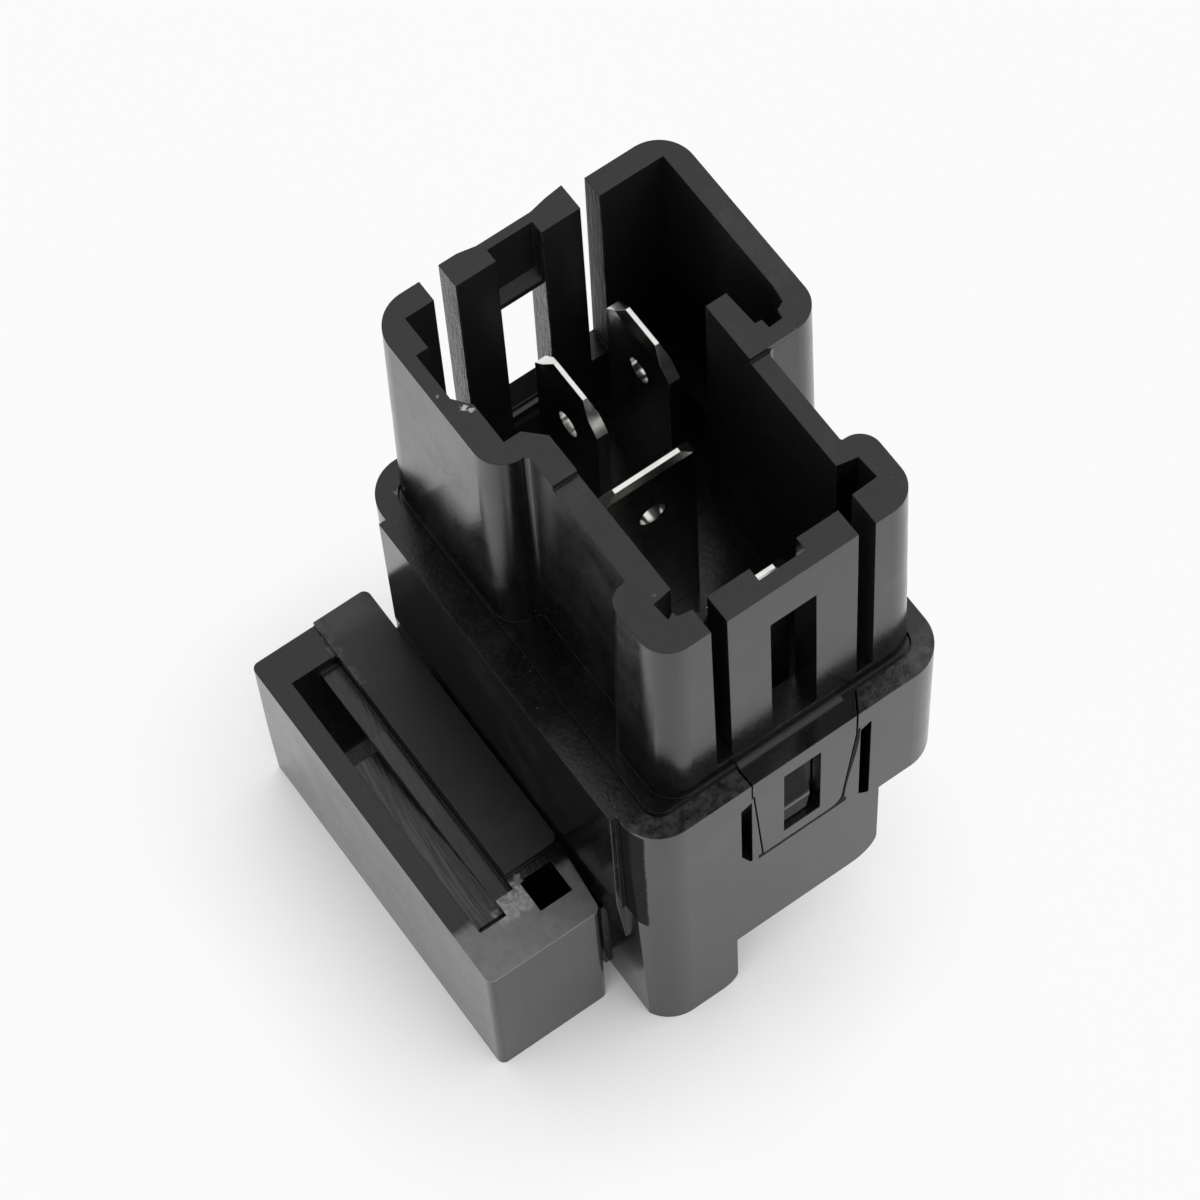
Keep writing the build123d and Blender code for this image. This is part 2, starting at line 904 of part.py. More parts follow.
def build_leaf():
    """Thin springy leaf that carries the moving contact."""
    plan = [
        (leaf_left + leaf_neck, leaf_back),
        (leaf_left, rivet_y),
        (leaf_left + leaf_taper, leaf_front),
        (leaf_right, leaf_front),
        (leaf_right, contact_y + leaf_wide),
        (leaf_right - leaf_cut, leaf_back),
    ]
    leaf = raised(plan, leaf_low, armature_low)
    for x in rivet_places:
        leaf -= Pos(x, rivet_y, leaf_low) * Cylinder(rivet_shank, 4 * iron)
    leaf -= Pos(contact_x, contact_y, leaf_low) * Cylinder(contact_shank, 4 * iron)
    return tilt(leaf)


def build_rivets():
    """Two rivets that hold the leaf to the armature."""
    half = [
        (0, armature_top),
        (rivet_shank, armature_top),
        (rivet_shank, leaf_low),
        (rivet_head, leaf_low),
        (rivet_head - rivet_bevel, leaf_low - rivet_head_thick),
        (0, leaf_low - rivet_head_thick),
    ]
    pair = [Pos(x, rivet_y, 0) * turned(half) for x in rivet_places]
    return tilt(pair[0] + pair[1])


def build_moving_contact():
    """Contact button riveted through the leaf."""
    half = [
        (0, armature_top),
        (contact_radius - contact_bevel, armature_top),
        (contact_radius, armature_top - contact_bevel),
        (contact_radius, armature_low),
        (contact_shank, armature_low),
        (contact_shank, leaf_low),
        (contact_radius - contact_head_set, leaf_low),
        (contact_radius - contact_head_set - rivet_bevel, leaf_low - rivet_head_thick),
        (0, leaf_low - rivet_head_thick),
    ]
    return tilt(Pos(contact_x, contact_y, 0) * turned(half))


def build_fixed_contact():
    """Contact button under the folded end of the load terminal."""
    low = armature_top + contact_gap
    half = [
        (0, low + contact_height),
        (contact_radius, low + contact_height),
        (contact_radius, low + contact_bevel),
        (contact_radius - contact_bevel, low),
        (0, low),
    ]
    return Pos(contact_x, contact_y, 0) * turned(half)


def build_spring():
    """Tension spring with a hook at each end, from the yoke tab to the armature tail."""
    tail_low = armature_low + (spring_y - leg_back) * sin(radians(open_angle))
    tab_low = spring_tab_top - blade_thick
    low = (tab_low + tail_low + iron - spring_length) / 2
    centre = (spring_x, spring_y, low)
    turns = Helix(spring_length / spring_turns, spring_length, spring_radius, center=centre)
    spring = sweep(wire_face(turns, spring_wire), path=turns, is_frenet=True)
    x = spring_x + spring_radius
    for start, end in (
        (low, tail_low - spring_wire - hook_play),
        (low + spring_length, spring_tab_top + spring_wire + hook_play),
    ):
        hook = [(x, spring_y, start), (x, spring_y, end), (x - hook_reach, spring_y, end)]
        path = FilletPolyline(*hook, radius=hook_bend)
        spring += sweep(wire_face(path, spring_wire), path=path)
    return spring


def build_backstop():
    """Strip hanging from the base, folded back under the tip of the leaf."""
    reach = leg_back - leaf_front
    rest = leaf_low - reach * sin(radians(open_angle)) - stop_play
    front = leaf_front - stop_gap - stop_thick
    side = [
        (front, floor_low + stop_root),
        (front + stop_thick, floor_low + stop_root),
        (front + stop_thick, rest),
        (front + stop_reach, rest),
        (front + stop_reach, rest - stop_thick),
        (front, rest - stop_thick),
    ]
    rounds = [0, 0, stop_inner_round, 0, 0, stop_round]
    return along_x(side, stop_left, stop_left + stop_width, rounds)


def wire(points):
    """Round wire along a path with rounded bends."""
    path = FilletPolyline(*points, radius=wire_bend)
    return sweep(wire_face(path, wire_radius), path=path)


def build_coil_lead_a():
    """Wire from the winding to the outer coil terminal."""
    z = winding_top - wire_radius
    x_end = coil_blade_a_x - blade_thick / 2
    start = (coil_x + winding_radius, coil_y, z)
    return wire([start, (wire_run_a, coil_y, z), (wire_run_a, lead_y, z), (x_end, lead_y, z)])


def build_coil_lead_b():
    """Wire from the winding round the yoke leg to the inner coil terminal."""
    z = winding_top - wire_radius
    x_end = coil_blade_b_x + blade_thick / 2
    along = cos(radians(wire_angle))
    across = sin(radians(wire_angle))
    start = (coil_x + winding_radius * along, coil_y + winding_radius * across, z)
    bend_y = coil_y + (wire_run_b - coil_x) * across / along
    return wire([start, (wire_run_b, bend_y, z), (wire_run_b, lead_y, z), (x_end, lead_y, z)])


resistor_left = coil_blade_b_x + blade_thick / 2
resistor_right = coil_blade_a_x - blade_thick / 2
resistor_x = (resistor_left + resistor_right) / 2
resistor_place = Pos(resistor_x, lead_y + resistor_space, floor_low - resistor_drop) * Rot(0, 90, 0)


def build_resistor():
    """Small axial resistor with swollen ends."""
    end = resistor_length / 2
    waist_end = end - resistor_cap - resistor_slope
    half = [
        (0, -end),
        (resistor_radius - resistor_bevel, -end),
        (resistor_radius, resistor_cap - end),
        (resistor_waist, -waist_end),
        (resistor_waist, waist_end),
        (resistor_radius, end - resistor_cap),
        (resistor_radius - resistor_bevel, end),
        (0, end),
    ]
    return resistor_place * turned(half)


def build_resistor_leads():
    """The two wires of the resistor, one to each coil terminal."""
    reach = (resistor_right - resistor_left - resistor_length) / 2
    mid = resistor_length / 2 + reach / 2
    lead = Cylinder(wire_radius, reach)
    return resistor_place * (Pos(0, 0, mid) * lead + Pos(0, 0, -mid) * lead)


pieces = {
    "cover": build_cover(),
    "base_housing": build_base(),
    "coil_terminal_a": build_coil_terminal(coil_blade_a_x, coil_blade_a_y),
    "coil_terminal_b": build_coil_terminal(coil_blade_b_x, coil_blade_b_y),
    "common_terminal": build_common_terminal(),
    "load_terminal": build_load_terminal(),
    "bobbin": build_bobbin(),
    "coil_winding": build_winding(),
    "coil_tape": build_tape(),
    "core": build_core(),
    "yoke": build_yoke(),
    "armature": build_armature(),
    "contact_leaf": build_leaf(),
    "leaf_rivets": build_rivets(),
    "moving_contact": build_moving_contact(),
    "fixed_contact": build_fixed_contact(),
    "return_spring": build_spring(),
    "backstop": build_backstop(),
    "coil_lead_a": build_coil_lead_a(),
    "coil_lead_b": build_coil_lead_b(),
    "suppression_resistor": build_resistor(),
    "resistor_leads": build_resistor_leads(),
}

# The blades and the backstop are pressed through the base
pressed = ("coil_terminal_a", "coil_terminal_b", "common_terminal", "load_terminal", "backstop")
for name in pressed:
    pieces["base_housing"] -= pieces[name]

# Put the middle of the footprint on the origin and the lowest face on z = 0
shell_box = (pieces["cover"] + pieces["base_housing"]).bounding_box()
to_origin = Pos(-shell_box.center().X, -shell_box.center().Y, -shell_box.min.Z)
os.makedirs("parts", exist_ok=True)
for name, piece in pieces.items():
    export_step(to_origin * piece, "parts/" + name + ".step")
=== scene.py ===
import bmesh
import bpy
from mathutils import Matrix, Vector


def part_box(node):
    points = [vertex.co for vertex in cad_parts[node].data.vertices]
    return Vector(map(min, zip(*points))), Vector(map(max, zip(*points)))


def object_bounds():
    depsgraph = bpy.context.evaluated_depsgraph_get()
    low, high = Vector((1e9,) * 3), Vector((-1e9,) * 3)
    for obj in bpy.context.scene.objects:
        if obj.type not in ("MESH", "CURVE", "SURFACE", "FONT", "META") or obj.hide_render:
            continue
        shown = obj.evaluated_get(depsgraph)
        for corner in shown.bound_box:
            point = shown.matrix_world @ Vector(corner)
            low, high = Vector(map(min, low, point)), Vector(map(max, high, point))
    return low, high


MM = 0.001

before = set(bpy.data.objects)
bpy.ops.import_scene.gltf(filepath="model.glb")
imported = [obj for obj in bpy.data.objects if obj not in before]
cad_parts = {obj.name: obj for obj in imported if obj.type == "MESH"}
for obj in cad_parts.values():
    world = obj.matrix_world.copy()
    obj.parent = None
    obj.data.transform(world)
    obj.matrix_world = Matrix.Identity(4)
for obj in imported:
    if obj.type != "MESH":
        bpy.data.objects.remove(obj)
cad_low, cad_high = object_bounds()
cover_low, cover_high = (Vector(corner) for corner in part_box("cover"))

# Places on the relay, from the outer corners of the cover
rim_level = cover_high.z
bracket_top = rim_level - 15.0 * MM
bracket_left = cover_low.x
front_face = cover_low.y
slot_left = bracket_left + 1.45 * MM
slot_right = slot_left + 2.0 * MM
ramp_front = front_face + 7.2 * MM
ramp_back = front_face + 22.1 * MM
hole_left = bracket_left + 5.3 * MM
strap_left = slot_right + 1.35 * MM
strap_front = front_face + 9.3 * MM
bracket_back = cover_high.y


def on_cover(x, y, z):
    """Point in millimetres from the cover's front left corner at the level of its rim."""
    return (bracket_left + x * MM, front_face + y * MM, rim_level + z * MM)


class Wiring:
    """Sets shader nodes in one tree and joins them."""

    def __init__(self, tree):
        self.tree = tree

    def node(self, kind, **settings):
        made = self.tree.nodes.new("ShaderNode" + kind)
        for name, value in settings.items():
            setattr(made, name, value)
        return made

    def feed(self, socket, value):
        if isinstance(value, bpy.types.NodeSocket):
            self.tree.links.new(value, socket)
        else:
            socket.default_value = value

    def maths(self, operation, a, b=0.0):
        made = self.node("Math", operation=operation)
        self.feed(made.inputs[0], a)
        self.feed(made.inputs[1], b)
        return made.outputs[0]

    def between(self, value, low, high, to_low=0.0, to_high=1.0):
        made = self.node("MapRange", interpolation_type="SMOOTHSTEP")
        for socket, amount in zip(made.inputs, (value, low, high, to_low, to_high)):
            self.feed(socket, amount)
        return made.outputs[0]

    def blend(self, amount, first, second):
        made = self.node("Mix", data_type="RGBA")
        self.feed(made.inputs["Factor"], amount)
        self.feed(made.inputs[6], first)
        self.feed(made.inputs[7], second)
        return made.outputs[2]

    def vector(self, operation, a, b):
        made = self.node("VectorMath", operation=operation)
        self.feed(made.inputs[0], a)
        self.feed(made.inputs[1], b)
        return made

    def noise(self, place, scale, detail=2.0, roughness=0.5):
        made = self.node("TexNoise")
        self.feed(made.inputs["Vector"], place)
        self.feed(made.inputs["Scale"], scale)
        made.inputs["Detail"].default_value = detail
        made.inputs["Roughness"].default_value = roughness
        return made.outputs[0]

    def group(self, effect, **values):
        made = self.node("Group", node_tree=effect)
        for name, value in values.items():
            self.feed(made.inputs[name.replace("_", " ").capitalize()], value)
        return made.outputs


def new_effect(name, inputs, outputs):
    """Empty node group with its sockets, its wiring and its two end nodes."""
    tree = bpy.data.node_groups.new(name, "ShaderNodeTree")
    for label, kind, value in inputs:
        socket = tree.interface.new_socket(label, in_out="INPUT", socket_type="NodeSocket" + kind)
        socket.default_value = value
    for label, kind in outputs:
        tree.interface.new_socket(label, in_out="OUTPUT", socket_type="NodeSocket" + kind)
    entry = tree.nodes.new("NodeGroupInput")
    leave = tree.nodes.new("NodeGroupOutput")
    return Wiring(tree), entry.outputs, leave.inputs


def make_skin_grain():
    """Fine mottled skin of a moulded or rolled surface, with slow waves and patches."""
    inputs = [
        ("Size", "Float", 0.2 * MM),
        ("Cloud", "Float", 4.0 * MM),
        ("Waves", "Float", 0.0),
    ]
    outputs = [("Height", "Float"), ("Patches", "Float"), ("Pores", "Float")]
    wire, given, out = new_effect("skin_grain", inputs, outputs)
    place = wire.node("TexCoord").outputs["Object"]
    fine = wire.noise(place, wire.maths("DIVIDE", 1.0, given["Size"]), 3.0, 0.6)
    broad = wire.noise(place, wire.maths("DIVIDE", 1.0, given["Cloud"]), 3.0, 0.55)
    waves = wire.maths("MULTIPLY", broad, given["Waves"])
    wire.feed(out["Height"], wire.maths("ADD", fine, waves))
    wire.feed(out["Patches"], wire.between(broad, 0.3, 0.7))
    wire.feed(out["Pores"], wire.between(fine, 0.3, 0.7))
    return wire.tree


def make_rubbed_edge():
    """Slightly rounded edges, and a broken mask where they are rubbed pale."""
    inputs = [("Radius", "Float", 0.12 * MM), ("Wear", "Float", 0.5)]
    wire, given, out = new_effect("rubbed_edge", inputs, [("Mask", "Float"), ("Normal", "Vector")])
    rounded = wire.node("Bevel", samples=4)
    wire.feed(rounded.inputs["Radius"], given["Radius"])
    flat = wire.node("NewGeometry").outputs["True Normal"]
    bend = wire.vector("DOT_PRODUCT", rounded.outputs[0], flat).outputs["Value"]
    edge = wire.between(wire.maths("SUBTRACT", 1.0, bend), 0.02, 0.2)
    place = wire.node("TexCoord").outputs["Object"]
    breaks = wire.between(wire.noise(place, 1.0 / (0.7 * MM), 4.0, 0.65), 0.62, 0.4)
    wire.feed(out["Mask"], wire.maths("MULTIPLY", wire.maths("MULTIPLY", edge, breaks), given["Wear"]))
    wire.feed(out["Normal"], rounded.outputs[0])
    return wire.tree


def make_drawn_streaks():
    """Streaks drawn out along the axis whose pitch is longest, bowed along Y if asked."""
    inputs = [
        ("Pitch", "Vector", (0.1 * MM, 3 * MM, 0.1 * MM)),
        ("Sharpness", "Float", 0.5),
        ("Bow", "Float", 0.0),
        ("Bow from", "Float", 0.0),
    ]
    wire, given, out = new_effect("drawn_streaks", inputs, [("Mask", "Float"), ("Height", "Float")])
    place = wire.node("TexCoord").outputs["Object"]
    along = wire.node("SeparateXYZ")
    wire.feed(along.inputs[0], place)
    reach = wire.maths("SUBTRACT", along.outputs[1], given["Bow from"])
    swept = wire.node("CombineXYZ")
    bowed = wire.maths("MULTIPLY", wire.maths("MULTIPLY", reach, reach), given["Bow"])
    wire.feed(swept.inputs[0], bowed)
    place = wire.vector("SUBTRACT", place, swept.outputs[0]).outputs["Vector"]
    drawn = wire.vector("DIVIDE", place, given["Pitch"]).outputs["Vector"]
    lines = wire.noise(drawn, 1.0, 4.0, 0.6)
    half = wire.maths("MULTIPLY", wire.maths("SUBTRACT", 1.0, given["Sharpness"]), 0.3)
    low = wire.maths("SUBTRACT", 0.5, half)
    wire.feed(out["Mask"], wire.between(lines, low, wire.maths("ADD", 0.52, half)))
    wire.feed(out["Height"], lines)
    return wire.tree


def make_box_place(name, ragged):
    """Soft mask of one place on the part, between two opposite corners."""
    inputs = [
        ("Low", "Vector", (0, 0, 0)),
        ("High", "Vector", (1, 1, 1)),
        ("Softness", "Float", 0.3 * MM),
    ]
    if ragged:
        inputs.append(("Raggedness", "Float", 0.5 * MM))
    wire, given, out = new_effect(name, inputs, [("Mask", "Float")])
    place = wire.node("TexCoord").outputs["Object"]
    if ragged:
        noise = wire.node("TexNoise", noise_dimensions="3D")
        noise.inputs["Scale"].default_value = 1.0 / (0.8 * MM)
        wire.feed(noise.inputs["Vector"], place)
        shift = wire.vector("SUBTRACT", noise.outputs["Color"], (0.5, 0.5, 0.5)).outputs["Vector"]
        scale = wire.node("VectorMath", operation="SCALE")
        wire.feed(scale.inputs[0], shift)
        wire.feed(scale.inputs["Scale"], given["Raggedness"])
        place = wire.vector("ADD", place, scale.outputs["Vector"]).outputs["Vector"]
    above = wire.node("SeparateXYZ")
    wire.feed(above.inputs[0], wire.vector("SUBTRACT", place, given["Low"]).outputs["Vector"])
    below = wire.node("SeparateXYZ")
    wire.feed(below.inputs[0], wire.vector("SUBTRACT", given["High"], place).outputs["Vector"])
    nearest = above.outputs[0]
    for axis in (above.outputs[1], above.outputs[2], *below.outputs):
        nearest = wire.maths("MINIMUM", nearest, axis)
    wire.feed(out["Mask"], wire.between(nearest, 0.0, given["Softness"]))
    return wire.tree


def make_spot_place():
    """Soft round mask about one point, with a ragged border."""
    inputs = [
        ("Centre", "Vector", (0, 0, 0)),
        ("Radius", "Float", 0.3 * MM),
        ("Raggedness", "Float", 0.0),
    ]
    wire, given, out = new_effect("spot_place", inputs, [("Mask", "Float")])
    place = wire.node("TexCoord").outputs["Object"]
    away = wire.vector("DISTANCE", place, given["Centre"]).outputs["Value"]
    ragged = wire.maths("SUBTRACT", wire.noise(place, 1.0 / (0.25 * MM), 3.0), 0.5)
    away = wire.maths("ADD", away, wire.maths("MULTIPLY", ragged, given["Raggedness"]))
    inner = wire.maths("MULTIPLY", given["Radius"], 0.6)
    wire.feed(out["Mask"], wire.between(away, given["Radius"], inner))
    return wire.tree


def make_scuffs():
    """Hair-fine straight scratches that run every way, in scattered patches."""
    inputs = [("Spread", "Float", 5 * MM), ("Amount", "Float", 0.5)]
    wire, given, out = new_effect("scuffs", inputs, [("Mask", "Float")])
    place = wire.node("TexCoord").outputs["Object"]
    total = None
    for turn in ((0.3, 0.5, 0.9), (1.2, -0.4, 2.1), (-0.7, 1.1, 0.2)):
        turned = wire.node("Mapping")
        turned.inputs["Rotation"].default_value = turn
        turned.inputs["Scale"].default_value = (1 / (0.05 * MM), 1 / (6 * MM), 1 / (6 * MM))
        wire.feed(turned.inputs["Vector"], place)
        lines = wire.between(wire.noise(turned.outputs[0], 1.0, 1.0), 0.70, 0.78)
        total = lines if total is None else wire.maths("MAXIMUM", total, lines)
    patches = wire.noise(place, wire.maths("DIVIDE", 1.0, given["Spread"]), 2.0)
    shown = wire.maths("MULTIPLY", total, wire.between(patches, 0.5, 0.7))
    wire.feed(out["Mask"], wire.maths("MULTIPLY", shown, given["Amount"]))
    return wire.tree


def make_dust_specks():
    """Sparse pale specks of dust."""
    inputs = [("Spacing", "Float", 1.2 * MM), ("Amount", "Float", 0.5)]
    wire, given, out = new_effect("dust_specks", inputs, [("Mask", "Float")])
    place = wire.node("TexCoord").outputs["Object"]
    cells = wire.node("TexVoronoi")
    wire.feed(cells.inputs["Vector"], place)
    wire.feed(cells.inputs["Scale"], wire.maths("DIVIDE", 1.0, given["Spacing"]))
    near = wire.between(cells.outputs["Distance"], 0.06, 0.03)
    chosen = wire.node("SeparateXYZ")
    wire.feed(chosen.inputs[0], cells.outputs["Color"])
    few = wire.maths("GREATER_THAN", chosen.outputs[0], 0.72)
    shown = wire.maths("MULTIPLY", near, few)
    wire.feed(out["Mask"], wire.maths("MULTIPLY", shown, given["Amount"]))
    return wire.tree


def make_dusty_film():
    """Broad, uneven clouds where dust and handling have left a grey film."""
    wire, given, out = new_effect("dusty_film", [("Cloud", "Float", 6 * MM)], [("Mask", "Float")])
    place = wire.node("TexCoord").outputs["Object"]
    clouds = wire.noise(place, wire.maths("DIVIDE", 1.0, given["Cloud"]), 5.0, 0.65)
    wire.feed(out["Mask"], wire.between(clouds, 0.52, 0.75))
    return wire.tree


skin_grain = make_skin_grain()
rubbed_edge = make_rubbed_edge()
drawn_streaks = make_drawn_streaks()
box_place = make_box_place("box_place", ragged=False)
ragged_place = make_box_place("ragged_place", ragged=True)
spot_place = make_spot_place()
scuffs = make_scuffs()
dust_specks = make_dust_specks()
dusty_film = make_dusty_film()


def new_material(name, roughness, metallic=0.0):
    """Material with one Principled shader, and its wiring."""
    material = bpy.data.materials.new(name)
    material.use_nodes = True
    wire = Wiring(material.node_tree)
    shader = wire.tree.nodes["Principled BSDF"]
    shader.inputs["Roughness"].default_value = roughness
    shader.inputs["Metallic"].default_value = metallic
    return material, wire, shader


def set_relief(wire, shader, height, depth, normal=None):
    """Relief of the given depth, over the rounded normal if one is given."""
    bump = wire.node("Bump")
    bump.inputs["Strength"].default_value = 1.0
    bump.inputs["Distance"].default_value = depth
    wire.feed(bump.inputs["Height"], height)
    if normal is not None:
        wire.feed(bump.inputs["Normal"], normal)
    wire.feed(shader.inputs["Normal"], bump.outputs[0])
    return bump.outputs[0]


def black_skin(name, dark, pale, roughness, edge_wear):
    """Satin black moulding: cloudy skin, grey film, rubbed edges, scuffs and dust."""
    material, wire, shader = new_material(name, roughness)
    grain = wire.group(skin_grain, size=0.28 * MM, cloud=3.2 * MM, waves=0.4)
    edge = wire.group(rubbed_edge, radius=0.07 * MM, wear=edge_wear)
    marks = wire.group(scuffs, spread=6 * MM, amount=0.5)
    dust = wire.group(dust_specks, spacing=1.1 * MM, amount=0.5)
    clouds = wire.group(dusty_film, cloud=6 * MM)["Mask"]
    in_pores = wire.maths("MULTIPLY", grain["Pores"], 0.15)
    film = wire.maths("ADD", wire.maths("MULTIPLY", clouds, 0.5), in_pores)
    colour = wire.blend(grain["Patches"], (*dark, 1), (*pale, 1))
    colour = wire.blend(film, colour, (0.060, 0.058, 0.060, 1))
    rubbed = wire.maths("MAXIMUM", edge["Mask"], wire.maths("MULTIPLY", marks["Mask"], 0.3))
    colour = wire.blend(rubbed, colour, (0.18, 0.178, 0.182, 1))
    colour = wire.blend(dust["Mask"], colour, (0.25, 0.245, 0.24, 1))
    uneven = wire.maths("MULTIPLY", wire.maths("ADD", grain["Patches"], grain["Pores"]), 0.06)
    rough = wire.maths("ADD", uneven, roughness - 0.05)
    rough = wire.maths("ADD", rough, wire.maths("MULTIPLY", rubbed, 0.2))
    return material, wire, shader, grain, edge, colour, rough


def tinted(wire, colour, mask, amount, tint):
    """Colour with a tint laid over it where the mask shows."""
    return wire.blend(wire.maths("MULTIPLY", mask, amount), colour, (*tint, 1))


def raised_by(wire, height, mask, relief, amount):
    """Height with more relief where the mask shows."""
    local = wire.maths("MULTIPLY", wire.maths("MULTIPLY", mask, relief), amount)
    return wire.maths("ADD", height, local)


def add_rim(wire, colour, height):
    """Sawn, granular rim of the cover, coarsest along the front."""
    rim = wire.group(
        box_place,
        low=(-1, -1, rim_level - 0.05 * MM),
        high=(1, front_face + 26 * MM, rim_level + 1),
        softness=0.02 * MM,
    )["Mask"]
    front = wire.group(
        ragged_place,
        low=(-1, -1, rim_level - 5 * MM),
        high=(1, front_face + 2.6 * MM, rim_level + 1),
        softness=0.8 * MM,
        raggedness=0.6 * MM,
    )["Mask"]
    sawn = wire.group(skin_grain, size=0.16 * MM, cloud=0.6 * MM)
    cut = wire.maths("MULTIPLY", rim, sawn["Patches"])
    amount = wire.between(front, 0.0, 1.0, 0.12, 1.0)
    colour = tinted(wire, colour, wire.maths("MULTIPLY", cut, amount), 1.0, (0.075, 0.074, 0.075))
    return colour, raised_by(wire, height, wire.maths("MULTIPLY", rim, amount), sawn["Height"], 4.0)


def add_ramp(wire, colour, height):
    """Pale drag streaks that sweep along the latch ramp, with painted light making them strongest on
    its left, and painted light on the ledge beside it.
    """
    ramp = wire.group(
        box_place,
        low=(slot_left - 0.5 * MM, ramp_front - 0.3 * MM, bracket_top - 5 * MM),
        high=(strap_left - 0.02 * MM, ramp_back + 0.3 * MM, bracket_top - 0.1 * MM),
        softness=0.15 * MM,
    )["Mask"]
    left = wire.group(
        box_place,
        low=(slot_left - 3 * MM, ramp_front - 3 * MM, bracket_top - 9 * MM),
        high=(slot_right - 0.1 * MM, ramp_back + 3 * MM, bracket_top + 9 * MM),
        softness=1.5 * MM,
    )["Mask"]
    drag = wire.group(
        drawn_streaks,
        pitch=(0.2 * MM, 7 * MM, 7 * MM),
        sharpness=0.45,
        bow=0.007 / MM,
        bow_from=ramp_front,
    )
    # Painted light: the streaks are painted paler towards the left of the ramp, the side that is lit
    # more.
    amount = wire.between(left, 0.0, 0.7, 0.25, 1.0)
    streak = wire.maths("MULTIPLY", wire.maths("MULTIPLY", ramp, drag["Mask"]), amount)
    colour = tinted(wire, colour, streak, 0.7, (0.20, 0.198, 0.20))
    ledge = wire.group(
        box_place,
        low=(slot_right - 0.02 * MM, front_face + 8.3 * MM, bracket_top - 3 * MM),
        high=(strap_left - 0.02 * MM, bracket_back - 2.6 * MM, bracket_top - 0.8 * MM),
        softness=0.1 * MM,
    )["Mask"]
    # Painted light: the shaded ledge beside the ramp is painted a lighter grey, stronger on the
    # streaks.
    ledge_painted_light = wire.between(drag["Mask"], 0.0, 1.0, 0.5, 1.0)
    colour = tinted(wire, colour, wire.maths("MULTIPLY", ledge, ledge_painted_light), 0.8, (0.05, 0.049, 0.05))
    return colour, raised_by(wire, height, wire.maths("SUBTRACT", ramp, ledge), drag["Height"], 4.0)


def add_scar(wire, colour, height):
    """Torn, pale gate scar at the front of the bracket, with crumbs by the square hole."""
    field = wire.group(
        ragged_place,
        low=(bracket_left - 1 * MM, front_face + 3 * MM, bracket_top - 3 * MM),
        high=(bracket_left + 9.2 * MM, front_face + 8.4 * MM, bracket_top + 3 * MM),
        softness=0.9 * MM,
        raggedness=0.9 * MM,
    )["Mask"]
    top = wire.group(
        box_place,
        low=(bracket_left - 1 * MM, front_face + 3 * MM, bracket_top - 0.2 * MM),
        high=(bracket_left + 8.7 * MM, bracket_back, bracket_top + 0.2 * MM),
        softness=0.05 * MM,
    )["Mask"]
    field = wire.maths("MULTIPLY", field, top)
    mottle = wire.group(skin_grain, size=0.16 * MM, cloud=0.9 * MM)
    spread = wire.between(mottle["Patches"], 0.0, 1.0, 0.85, 1.0)
    colour = tinted(wire, colour, wire.maths("MULTIPLY", field, spread), 1.0, (0.30, 0.297, 0.302))
    height = raised_by(wire, height, field, mottle["Height"], 1.5)
    crumbs = wire.group(
        ragged_place,
        low=(slot_right - 0.7 * MM, front_face + 6.6 * MM, bracket_top - 0.5 * MM),
        high=(hole_left + 0.5 * MM, strap_front - 0.1 * MM, bracket_top + 3 * MM),
        softness=0.3 * MM,
        raggedness=0.9 * MM,
    )["Mask"]
    grit = wire.group(skin_grain, size=0.12 * MM, cloud=0.35 * MM)
    gritty = wire.between(grit["Patches"], 0.2, 0.9, 0.45, 1.0)
    colour = tinted(wire, colour, wire.maths("MULTIPLY", crumbs, gritty), 1.0, (0.62, 0.615, 0.62))
    return colour, raised_by(wire, height, crumbs, grit["Height"], 6.0)


def add_strap_wear(wire, colour, height):
    """Pale handling marks on the back end of the strap and along its left edge."""
    end = wire.group(
        ragged_place,
        low=(strap_left - 0.3 * MM, bracket_back - 2.4 * MM, bracket_top - 1.5 * MM),
        high=(bracket_left + 9.2 * MM, bracket_back + 1.5 * MM, bracket_top + 3 * MM),
        softness=1.4 * MM,
        raggedness=1.0 * MM,
    )["Mask"]
    colour = tinted(wire, colour, end, 0.8, (0.17, 0.17, 0.172))
    edge = wire.group(
        ragged_place,
        low=(strap_left - 0.35 * MM, bracket_back - 5.5 * MM, bracket_top - 0.3 * MM),
        high=(strap_left + 0.5 * MM, bracket_back + 1.5 * MM, bracket_top + 3 * MM),
        softness=0.25 * MM,
        raggedness=0.8 * MM,
    )["Mask"]
    grit = wire.group(skin_grain, size=0.15 * MM, cloud=0.45 * MM)
    rubbed = wire.maths("MULTIPLY", edge, grit["Patches"])
    colour = tinted(wire, colour, rubbed, 0.8, (0.26, 0.258, 0.26))
    return colour, raised_by(wire, height, edge, grit["Height"], 6.0)


def add_side_bloom(wire, colour):
    """Faint upright clouds on the left face of the bracket."""
    side = wire.group(
        box_place,
        low=(bracket_left - 1 * MM, -1, -1),
        high=(bracket_left + 0.2 * MM, 1, bracket_top - 0.1 * MM),
        softness=0.1 * MM,
    )["Mask"]
    flow = wire.group(drawn_streaks, pitch=(5 * MM, 1.6 * MM, 9 * MM), sharpness=0.1)
    return tinted(wire, colour, wire.maths("MULTIPLY", side, flow["Mask"]), 0.4, (0.085, 0.08, 0.083))


def add_pale_spots(wire, colour, pale_spots):
    """Small pale spots at the given places: centre, radius and strength."""
    for centre, radius, strength in pale_spots:
        spot = wire.group(spot_place, centre=centre, radius=radius, raggedness=3.5 * radius)["Mask"]
        colour = tinted(wire, colour, spot, strength, (0.7, 0.69, 0.68))
    return colour


def leaning(wire, normal, place, lean):
    """Surface normal tipped by the lean where the mask of the place shows."""
    amount = wire.node("VectorMath", operation="SCALE")
    amount.inputs[0].default_value = lean
    wire.feed(amount.inputs["Scale"], place)
    tipped = wire.vector("ADD", normal, amount.outputs["Vector"]).outputs["Vector"]
    unit = wire.node("VectorMath", operation="NORMALIZE")
    wire.feed(unit.inputs[0], tipped)
    return unit.outputs["Vector"]


